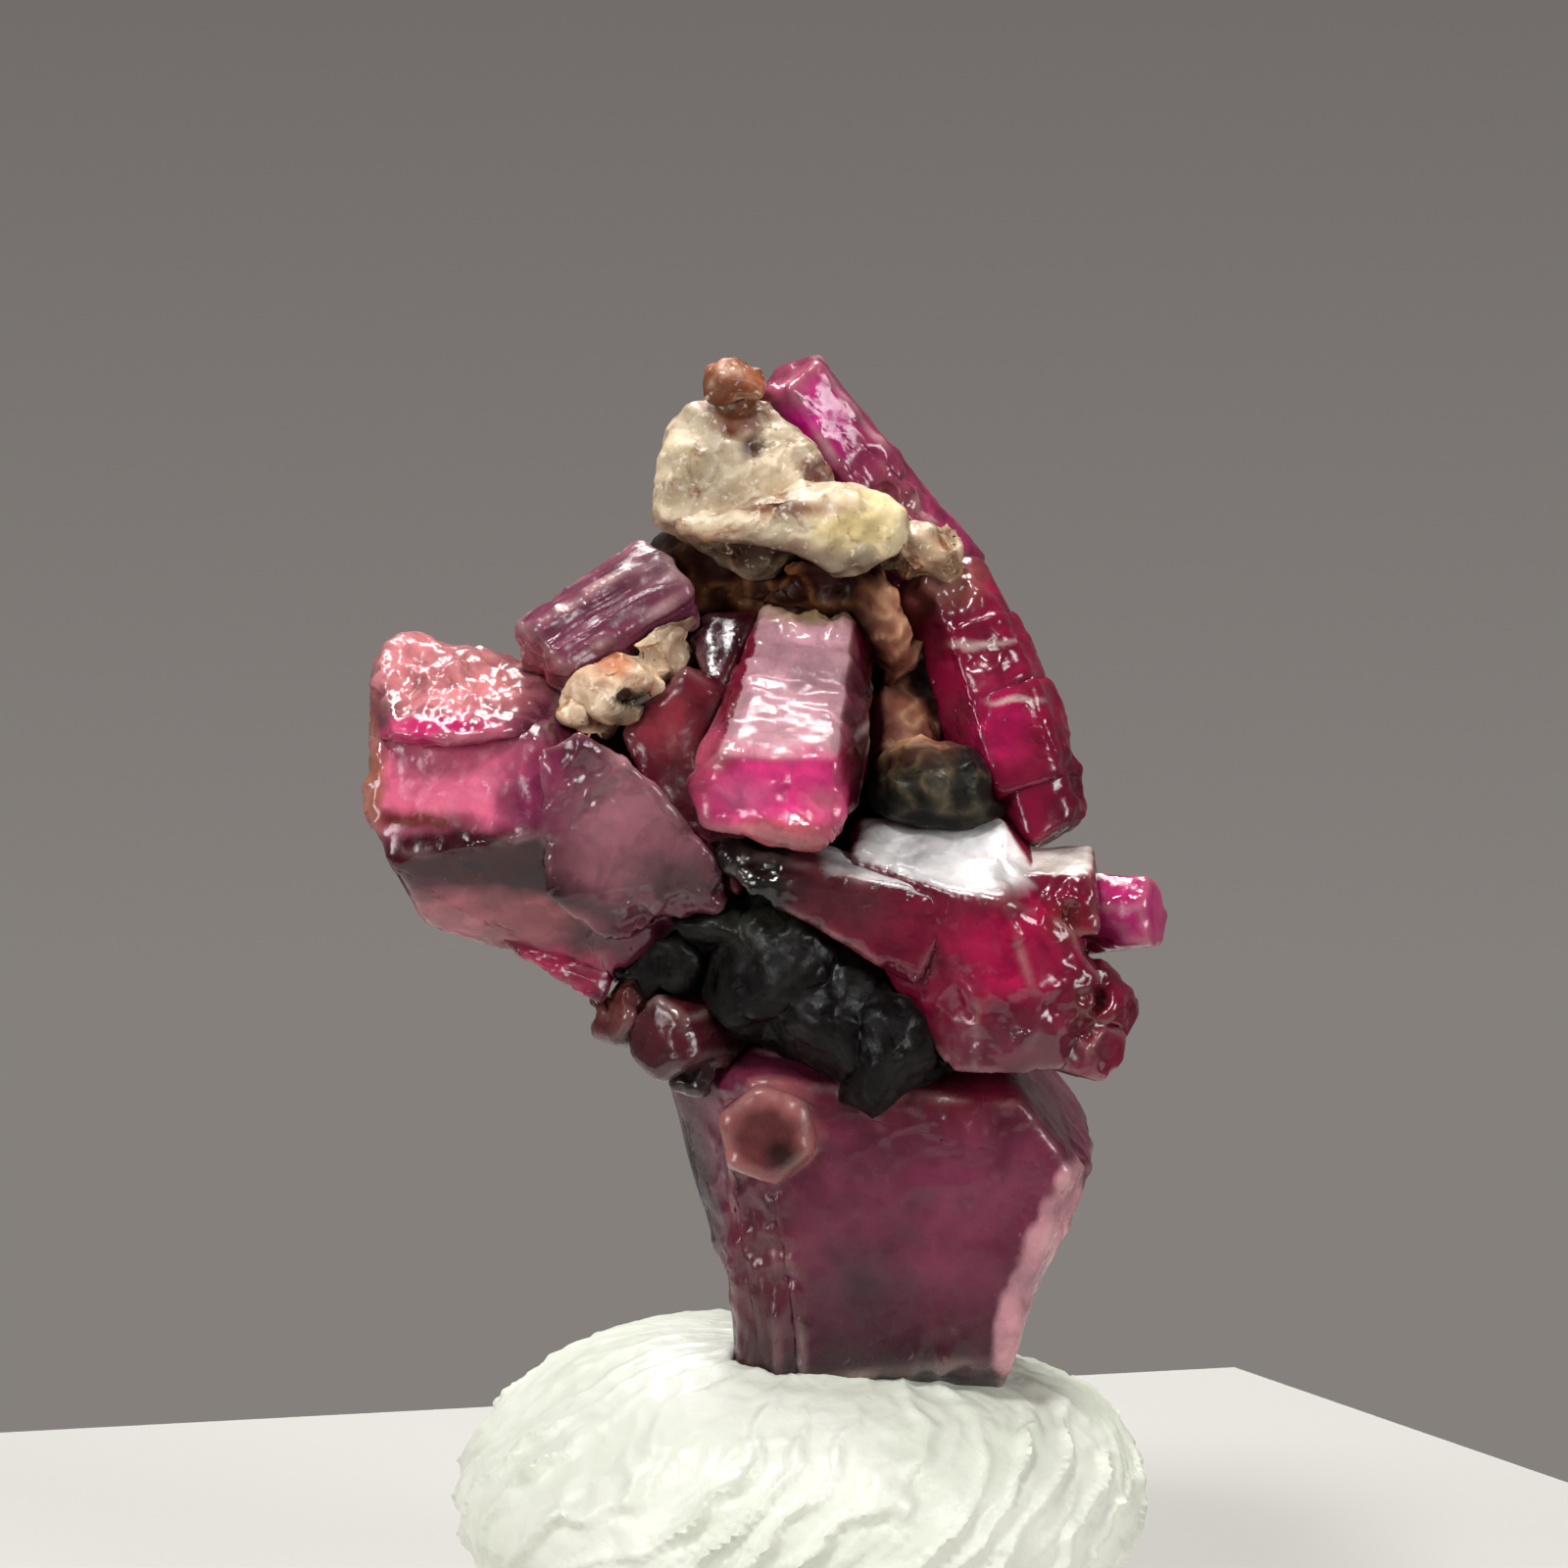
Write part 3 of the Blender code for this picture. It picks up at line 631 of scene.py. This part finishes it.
# %% The two dark ones
dress(
    "inner_ruby", deep_ruby, GRAIN * 1.2,
    crystal_relief((0, -0.5, -0.85), width=1.0, depth=0.05, stretch=2.0, seed=8),
    srgb(112, 28, 44),
    blobs=[
        blob((-3.0, -2.8, 22.2), (0.9, 1.4, 1.0), srgb(160, 58, 72), 1.2),
        blob((-1.8, -1.0, 24.0), (1.3, 1.4, 1.2), srgb(60, 14, 24), 1.6),
    ],
    wear=0.25,
)
dress(
    "bud_rubies", deep_ruby, GRAIN,
    crystal_relief((-0.6, -0.8, 0), width=0.8, depth=0.09, chip=0.2, stretch=1.2, seed=9),
    srgb(74, 30, 36),
    blobs=[
        blob((-4.2, -2.2, 15.8), (0.8, 1.4, 0.9), srgb(128, 66, 62), 1.6),
        blob((-3.0, -3.0, 15.2), (0.9, 1.4, 0.8), srgb(88, 20, 30), 1.6),
        blob((-2.3, -2.2, 14.0), (0.8, 1.4, 0.7), srgb(34, 20, 20), 1.6),
    ],
    wear=0.2,
)

# %% [markdown]
# ## The rock
# The tan rock is a mass of small flats that glitter, with orange-brown stains in its hollows. The dark rock is
# nearly black, with a greenish film where the light catches it. Both use one material function with their own
# colours.

# %% Rock material
def rock(name, stain, glitter_colour, glitter_from, rough_low, rough_high, tip, bend, gloss):
    made, nodes, links, shader = new_material(name)
    shader.inputs["Specular IOR Level"].default_value = gloss
    tint = nodes.new("ShaderNodeVertexColor")
    tint.layer_name = "tint"
    cloud = pattern(nodes, links, "ShaderNodeTexNoise", 1100.0, Detail=9.0, Roughness=0.68, Distortion=0.6)
    shade = ramp(nodes, links, cloud.outputs["Fac"], (0.34, stain), (0.46, grey(0.9)), (0.68, grey(1.1)))
    shaded = mixed(nodes, links, 1.0, tint.outputs["Color"], shade, "MULTIPLY")
    grains = pattern(nodes, links, "ShaderNodeTexNoise", 4600.0, Detail=3.0, Roughness=0.6)
    glitter = ramp(nodes, links, grains.outputs["Fac"], (glitter_from, grey(0.0)), (glitter_from + 0.1, grey(0.7)))
    colour = mixed(nodes, links, glitter, shaded, glitter_colour)
    links.new(colour, shader.inputs["Base Color"])
    roughness = ramp(nodes, links, cloud.outputs["Fac"], (0.4, grey(rough_low)), (0.6, grey(rough_high)))
    links.new(roughness, shader.inputs["Roughness"])
    shader.inputs["IOR"].default_value = bend
    tip_grains(nodes, links, shader, 4600.0, tip, 5200.0, 0.02 * MM)
    return made


tan_stone = rock("tan_stone", srgb(178, 122, 78), srgb(250, 240, 214), 0.60, 0.30, 0.60, 0.28, 1.6, 0.5)
dark_stone = rock("dark_stone", srgb(120, 110, 100), srgb(96, 90, 74), 0.74, 0.28, 0.55, 0.2, 1.4, 0.24)
TAN = srgb(200, 180, 150)
BROWN = srgb(84, 52, 32)
ORANGE = srgb(166, 96, 52)
DEEP_BROWN = srgb(36, 18, 14)

# %% The rocks
dress(
    "cap_rock", tan_stone, GRAIN,
    rock_relief(width=1.9, depth=0.45, grain_depth=0.015, seed=11), TAN,
    blobs=[
        blob((1.4, -2.4, 26.7), (1.6, 1.4, 0.7), srgb(214, 192, 136), 1.6),
        blob((-1.5, -0.8, 29.9), (1.4, 1.8, 1.1), srgb(152, 84, 52), 2.6),
        blob((-1.4, -1.4, 28.9), (0.9, 1.4, 0.5), srgb(110, 60, 38), 1.6),
        blob((-1.0, -2.0, 25.9), (3.0, 2.0, 0.6), BROWN, 2.0),
        blob((-0.4, -2.6, 27.1), (2.2, 1.2, 0.22), srgb(120, 74, 44), 1.4),
        blob((-2.6, -2.2, 26.4), (1.2, 1.2, 0.35), ORANGE, 1.8),
        blob((3.0, -1.2, 25.8), (1.2, 1.4, 1.0), srgb(178, 138, 106), 1.4),
        blob((-1.1, -2.0, 28.4), (0.35, 1.2, 0.5), BROWN, 2.2),
        blob((0.4, -1.6, 27.7), (0.5, 1.2, 0.4), srgb(104, 52, 34), 1.8),
        blob((-2.4, -1.6, 27.8), (1.0, 1.4, 1.0), srgb(172, 154, 124), 1.0),
    ],
    wear=0.4, worn_colour=srgb(236, 220, 190), patches=0.3,
)
dress(
    "shoulder_rock", tan_stone, GRAIN,
    rock_relief(width=1.4, depth=0.35, grain_depth=0.015, seed=12), srgb(208, 178, 146),
    blobs=[
        blob((-3.8, -3.0, 22.7), (0.7, 1.4, 0.45), DEEP_BROWN, 2.4),
        blob((-4.2, -2.6, 23.5), (0.8, 1.2, 0.4), ORANGE, 1.6),
        blob((-2.6, -1.0, 24.6), (1.2, 1.4, 1.2), BROWN, 1.2),
    ],
    wear=0.4, worn_colour=srgb(236, 216, 176), patches=0.3,
)
ROD = blob((2.5, -1.8, 23.9), (1.6, 3.4, 3.2), 2.0, 2.0)


def bring_rod_forward(point):
    """Brings the brown rod out of the shadow between the crystals."""
    return Vector((0.1, -ROD[2], 0)) * blob_share(ROD, point, None)


VEINS = [
    blob((2.6, -2.0, 23.8), (1.6, 3.0, 3.2), (0.1, srgb(218, 176, 130)), 2.0),
    blob((3.0, -3.0, 20.9), (1.7, 2.2, 1.3), (0.10, srgb(96, 86, 66)), 1.6),
    blob((-1.0, -1.0, 25.2), (3.4, 3.4, 1.2), (0.14, srgb(150, 96, 56)), 1.6),
]
dress(
    "dark_rock", dark_stone, GRAIN * 1.4,
    nodule_relief(seed=13, veins=VEINS, rough=[
        blob((-1.0, 0.0, 25.2), (2.6, 2.4, 1.6), 0.2),
        blob((-0.6, -3.6, 18.2), (1.6, 2.0, 0.9), 0.2),
        blob((3.0, -2.8, 20.9), (1.6, 2.2, 1.2), 0.2),
        blob((2.6, -2.0, 23.8), (1.6, 3.4, 3.4), 0.16, 2.0),
        blob((0.5, 4.4, 20.0), (9.0, 5.0, 12.0), 0.4, 1.5),
    ]),
    srgb(15, 12, 12),
    blobs=[
        blob((0.0, 4.4, 20.0), (9.0, 5.0, 11.0), srgb(58, 48, 42), 1.6),
        blob((-2.4, 4.2, 22.6), (2.2, 3.4, 1.8), srgb(104, 70, 48), 1.6),
        blob((2.4, 4.2, 24.6), (1.8, 3.4, 2.0), srgb(78, 78, 58), 1.4),
        blob((1.6, 4.4, 17.6), (2.2, 3.4, 1.5), srgb(146, 116, 86), 1.4),
        blob((-1.6, 4.4, 18.6), (1.5, 3.4, 1.4), srgb(88, 28, 44), 1.6),
        blob((3.4, 4.0, 20.8), (1.6, 3.4, 1.4), srgb(74, 22, 36), 1.4),
        blob((-0.8, -3.6, 18.2), (1.6, 2.2, 1.2), srgb(46, 46, 40), 1.4),
        blob((2.6, -2.0, 23.8), (1.6, 3.4, 3.4), srgb(164, 98, 80), 2.0),
        blob((2.9, -2.8, 20.9), (1.6, 2.2, 1.1), srgb(34, 34, 28), 1.2),
        blob((-1.0, -0.6, 25.2), (3.2, 3.2, 1.8), srgb(58, 28, 20), 1.8),
        blob((0.0, 3.5, 22.0), (4.0, 3.0, 3.0), srgb(60, 44, 36), 0.9),
    ],
    wear=0.1, worn_colour=srgb(96, 92, 82), patches=0.25, veins=VEINS, shift=bring_rod_forward,
)

# %% [markdown]
# ## The putty
# The lump was pulled and twisted like dough before it was set down, so slanting folds run round it, with fine
# wrinkles between them. The relief is worked out on the putty as it was before the twist: each point is turned
# back by an angle that grows with its height, and there the folds stand upright. A whole number of them goes
# round, so that they meet at the back. Putty is a soft satin white with a little light inside it.

# %% Putty
FOLDS = 26
PUTTY_REACH = 7.4  # about how far the folds are from the middle, in millimetres
TWIST = 1.35 / PUTTY_REACH  # the turn for each millimetre of height
FOLD_TOP = 7.8  # the height where the folds have faded away


def fold_relief(point, normal, edge_distance):
    turn = math.atan2(point.x, -point.y) - point.z * TWIST
    upright = Vector((math.sin(turn), math.cos(turn), 0)) * math.hypot(point.x, point.y)
    upright.z = point.z * 0.3
    bend = noise.noise(point * 0.35) * 1.1 + noise.noise(point * 1.2) * 0.3
    share = (turn * FOLDS / (2 * math.pi) + bend) % 1.0
    fold = max(0.0, 1 - abs(share - 0.5) * 5.0) * (0.75 + noise.noise(point * 0.6 + Vector((9, 0, 0))))
    wrinkle = ridges(upright, 0.65, 2.0) ** 2
    fade = min(1.0, max(0.0, (FOLD_TOP - point.z) / 2.4)) * min(1.0, point.z / 0.8)
    return fade * (0.26 * fold + 0.06 * wrinkle - 0.09) + 0.05 * noise.noise(point * 1.6)


def putty_material():
    made, nodes, links, shader = new_material("putty_white")
    cloud = pattern(nodes, links, "ShaderNodeTexNoise", 260.0, Detail=4.0, Roughness=0.5)
    colour = ramp(nodes, links, cloud.outputs["Fac"], (0.35, srgb(222, 226, 210)), (0.65, srgb(238, 240, 228)))
    links.new(colour, shader.inputs["Base Color"])
    shader.inputs["Roughness"].default_value = 0.38
    shader.inputs["Subsurface Weight"].default_value = 0.08
    shader.inputs["Subsurface Radius"].default_value = (1.0, 0.9, 0.7)
    shader.inputs["Subsurface Scale"].default_value = 0.1 * MM
    dents = pattern(nodes, links, "ShaderNodeTexNoise", 900.0, Detail=5.0, Roughness=0.55)
    bump = nodes.new("ShaderNodeBump")
    bump.inputs["Strength"].default_value = 0.6
    bump.inputs["Distance"].default_value = 0.14 * MM
    links.new(dents.outputs["Fac"], bump.inputs["Height"])
    links.new(bump.outputs["Normal"], shader.inputs["Normal"])
    return made


dress("putty", putty_material(), 0.16, fold_relief, grey(0.8), wear=0.0, settle=0)

# %% [markdown]
# ## Camera
# The specimen was photographed from about 0.2 m with a long lens, 8 degrees above level. Its scale is
# 0.0225 mm to a pixel of a 1600 pixel frame, and the frame's middle looks at a point 900 pixels above the
# surface that the putty stands on.

# %% Camera
PIXEL = 0.0225 * MM
FRAME_PIXELS = 1600
ELEVATION = math.radians(8)
DISTANCE = 0.2
SENSOR = 36.0
MIDDLE = (800, 800)
ORIGIN_PIXEL = (816, 1700)

aim = Vector(((MIDDLE[0] - ORIGIN_PIXEL[0]) * PIXEL, 0,
              (ORIGIN_PIXEL[1] - MIDDLE[1]) * PIXEL / math.cos(ELEVATION)))
camera = bpy.data.objects.new("camera", bpy.data.cameras.new("camera"))
camera.data.sensor_width = SENSOR
camera.data.lens = DISTANCE * SENSOR / (PIXEL * FRAME_PIXELS)
camera.data.clip_start = 0.01
back = Vector((0, -math.cos(ELEVATION), math.sin(ELEVATION)))
camera.location = aim + back * DISTANCE
camera.rotation_euler = (-back).to_track_quat("-Z", "Y").to_euler()
bpy.context.scene.collection.objects.link(camera)
bpy.context.scene.camera = camera
print("lens", round(camera.data.lens, 1), "mm")

# %% [markdown]
# ## Floor and light
# The putty stands on a pale slab, turned so that a corner points away from the camera. Soft lamps hang over the
# specimen and a little behind it, so that the faces that look up and forwards mirror them. A small one in front,
# high on the left, draws out the putty's folds, and two wide ones fill from the sides. A lamp beside the camera
# would be simpler, but its reflection would lie over every front face as a milky haze, and the ruby would lose
# its depth. A big slab would do the same from below, so it is only 60 mm wide. The room has a grey band behind
# the specimen and is dim above and below it.

# %% Floor
CORNER = Vector((11.8, 32.7, -0.05)) * MM  # where the slab's far corner is
LEFT_EDGE = Vector((-0.969, -0.247, 0))
RIGHT_EDGE = Vector((0.477, -0.879, 0))
SLAB_SIDE = 0.06

slab_mesh = bpy.data.meshes.new("slab")
slab = bmesh.new()
ends = (Vector(), LEFT_EDGE, LEFT_EDGE + RIGHT_EDGE, RIGHT_EDGE)
slab.faces.new([slab.verts.new(CORNER + end * SLAB_SIDE) for end in ends])
slab.to_mesh(slab_mesh)
slab.free()
floor = bpy.data.objects.new("slab", slab_mesh)
bpy.context.scene.collection.objects.link(floor)
floor_material, floor_nodes, floor_links, floor_shader = new_material("pale_floor")
floor_shader.inputs["Base Color"].default_value = (*srgb(188, 186, 182), 1.0)
floor_shader.inputs["Roughness"].default_value = 0.6
slab_mesh.materials.append(floor_material)

# %% Light
def soft_light(name, place, target, width, power, colour=(1.0, 1.0, 1.0)):
    made = bpy.data.lights.new(name, "AREA")
    made.shape = "SQUARE"
    made.size = width
    made.energy = power
    made.color = colour
    obj = bpy.data.objects.new(name, made)
    obj.location = place
    obj.rotation_euler = (Vector(target) - Vector(place)).to_track_quat("-Z", "Y").to_euler()
    bpy.context.scene.collection.objects.link(obj)


soft_light("top_light", (0.0, 0.04, 0.2), (0, 0, 0.018), 0.07, 0.26, (1.0, 0.98, 0.94))
soft_light("back_light", (-0.01, 0.12, 0.17), (0, 0, 0.02), 0.06, 0.20)
soft_light("front_light", (-0.06, -0.11, 0.2), (0, 0, 0.018), 0.04, 0.26)
soft_light("left_light", (-0.21, -0.18, 0.08), (0, 0, 0.015), 0.10, 0.30)
soft_light("right_light", (0.21, -0.18, 0.10), (0, 0, 0.015), 0.10, 0.38)

world = bpy.data.worlds.new("grey_room")
world.use_nodes = True
sky_nodes, sky_links = world.node_tree.nodes, world.node_tree.links
heading = sky_nodes.new("ShaderNodeTexCoord")
split = sky_nodes.new("ShaderNodeSeparateXYZ")
sky_links.new(heading.outputs["Generated"], split.inputs["Vector"])
level = sky_nodes.new("ShaderNodeMapRange")
level.inputs["From Min"].default_value = -0.5
level.inputs["From Max"].default_value = 0.5
sky_links.new(split.outputs["Z"], level.inputs["Value"])
DIM = srgb(80, 77, 74)
BACKDROP_LOW = srgb(133, 128, 124)
BACKDROP_HIGH = srgb(114, 109, 106)
room = ramp(sky_nodes, sky_links, level.outputs["Result"], (0.18, DIM), (0.26, BACKDROP_LOW),
            (0.34, BACKDROP_LOW), (0.45, BACKDROP_HIGH), (0.55, BACKDROP_HIGH), (0.70, DIM))
sky_links.new(room, sky_nodes["Background"].inputs["Color"])
bpy.context.scene.world = world
bpy.context.scene.view_settings.view_transform = "Standard"
